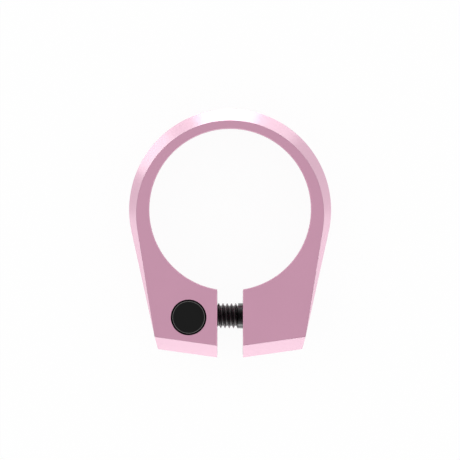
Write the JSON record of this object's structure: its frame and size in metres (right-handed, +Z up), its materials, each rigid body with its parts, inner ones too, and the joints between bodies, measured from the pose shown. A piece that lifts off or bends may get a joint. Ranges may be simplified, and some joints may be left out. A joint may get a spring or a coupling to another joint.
{
  "type": "seatpost clamp",
  "caption": "Slotted round collar with thick ears and bevelled rim that a socket head bolt and a barrel nut draw tight around a bicycle seat tube.",
  "frame": {"origin": "on the bore axis, on the shoulder under the lip where the seat tube's rim rests", "axes": "+Z up along the bore, away from the tube; -Y towards the ears; +X towards the bolt's head"},
  "size_m": [0.0382, 0.0471, 0.014],
  "materials": {
    "anodised_collar": "satin pink anodised",
    "black_bolt": "black oxide, oiled",
    "steel_washer": "black oxide",
    "black_nut": "black oxide"
  },
  "bodies": {
    "clamp_collar": {"collar": "anodised_collar"},
    "nut": {"barrel_nut": "black_nut"},
    "washer": {"bolt_washer": "steel_washer"},
    "bolt": {"clamp_bolt": "black_bolt"}
  },
  "joints": [
    {"name": "nut_swivel", "type": "hinge", "parent": "clamp_collar", "child": "nut", "pos_m": [-0.00782, -0.0203, -0.0055], "axis": [0, 0, 1], "range_deg": [-1, 1]},
    {"name": "bolt_feed", "type": "slide", "parent": "nut", "child": "washer", "axis": [1, 0, 0], "range_m": [0, 0.0064]},
    {"name": "bolt_turn", "type": "hinge", "parent": "washer", "child": "bolt", "pos_m": [0.009, -0.0203, -0.0055], "axis": [1, 0, 0], "range_deg": [0, 2880]}
  ],
  "couplings": [
    {"joint": "bolt_turn", "follows": "bolt_feed", "rad_per_m": 7854}
  ]
}
